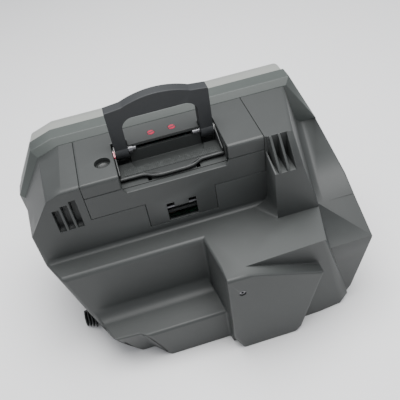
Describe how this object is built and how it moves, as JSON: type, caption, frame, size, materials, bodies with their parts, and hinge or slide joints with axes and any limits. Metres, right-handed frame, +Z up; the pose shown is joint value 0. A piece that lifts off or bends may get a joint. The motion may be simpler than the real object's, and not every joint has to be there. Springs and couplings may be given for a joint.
{
  "type": "removable lithium battery pack",
  "caption": "Removable lithium battery pack in a stepped plastic case with a folding carry handle, a latch release lever and a domed rear cover.",
  "frame": {"origin": "middle of the footprint's bounding box, on the base plane the pack stands on", "axes": "+Z up, +Y from the latch panel to the rear cover, +X to the right as the latch panel is seen from the front"},
  "size_m": [0.4, 0.258, 0.301],
  "materials": {
    "shell_plastic": "satin moulded ABS, fine spark texture",
    "housing_plastic": "satin moulded ABS, fine spark texture",
    "rim_plastic": "satin moulded ABS",
    "silver_cover": "silver-grey satin paint",
    "handle_plastic": "fine matt glass-filled nylon",
    "lever_plastic": "satin glass-filled nylon",
    "tread_rubber": "ribbed soft rubber",
    "flag_red": "red print",
    "lens_red": "tinted red lens",
    "steel": "bright steel",
    "screw_steel": "blackened steel",
    "button_plastic": "satin",
    "seal_rubber": "soft rubber",
    "board_green": "solder mask",
    "cell_sleeve": "shrink sleeve",
    "holder_plastic": "flame-retardant ABS",
    "nickel": "nickel strip",
    "heatsink_aluminium": "bead blasted",
    "chip_plastic": "epoxy",
    "fuse_plastic": "clear amber",
    "socket_plastic": "glass-filled nylon",
    "contact_copper": "plated contact metal",
    "cable_red": "silicone insulation",
    "cable_black": "silicone insulation",
    "nylon_white": "natural nylon",
    "foam_grey": "open-cell foam",
    "ribbon_plastic": "polyimide film"
  },
  "bodies": {
    "case": {"front_shell": "shell_plastic", "handle_housing": "housing_plastic", "latch_panel": "housing_plastic", "rim_frame": "rim_plastic", "rear_cover": "silver_cover", "slider_guides": "lever_plastic", "button_cup": "lever_plastic", "status_lenses": "lens_red", "pivot_pins": "steel", "slider_springs": "steel", "lever_spring": "steel", "key_screw": "screw_steel", "cover_screws": "screw_steel", "main_gasket": "seal_rubber", "button_spring": "seal_rubber", "status_board": "board_green", "bms_board": "board_green", "cells": "cell_sleeve", "front_cell_holder": "holder_plastic", "rear_cell_holder": "holder_plastic", "front_bus_plates": "nickel", "rear_bus_plates": "nickel", "bms_heatsink": "heatsink_aluminium", "bms_switches": "chip_plastic", "bms_capacitors": "chip_plastic", "main_fuse": "fuse_plastic", "dock_socket": "socket_plastic", "vent_valve": "socket_plastic", "contact_blades": "contact_copper", "screw_inserts": "contact_copper", "positive_cable": "cable_red", "negative_cable": "cable_black", "friction_washers": "nylon_white", "foam_pad": "foam_grey", "sense_ribbon": "ribbon_plastic"},
    "handle": {"carry_handle": "handle_plastic"},
    "lever": {"release_lever": "lever_plastic", "lever_tread": "tread_rubber", "lock_flag": "flag_red"},
    "slider": {"latch_slider": "lever_plastic", "striker_bar": "steel"},
    "button": {"power_button": "button_plastic"}
  },
  "joints": [
    {"name": "handle_fold", "type": "hinge", "parent": "case", "child": "handle", "pos_m": [-0.0085, 0.027, 0.2335], "axis": [1, 0, 0], "range_deg": [0, 90]},
    {"name": "lever_lift", "type": "hinge", "parent": "case", "child": "lever", "pos_m": [-0.0085, 0.027, 0.2335], "axis": [-1, 0, 0], "range_deg": [0, 9], "stiffness_Nm_per_rad": 0.5, "springref_deg": -9.74},
    {"name": "slider_lift", "type": "slide", "parent": "case", "child": "slider", "axis": [0, 0, 1], "range_m": [0, 0.005], "deforming": ["slider_springs"]},
    {"name": "button_press", "type": "slide", "parent": "case", "child": "button", "axis": [0, 0, -1], "range_m": [0, 0.0015], "stiffness_N_per_m": 400, "springref_m": -0.002, "deforming": ["button_spring"]}
  ],
  "couplings": [
    {"joint": "slider_lift", "follows": "lever_lift", "m_per_rad": 0.0316}
  ]
}
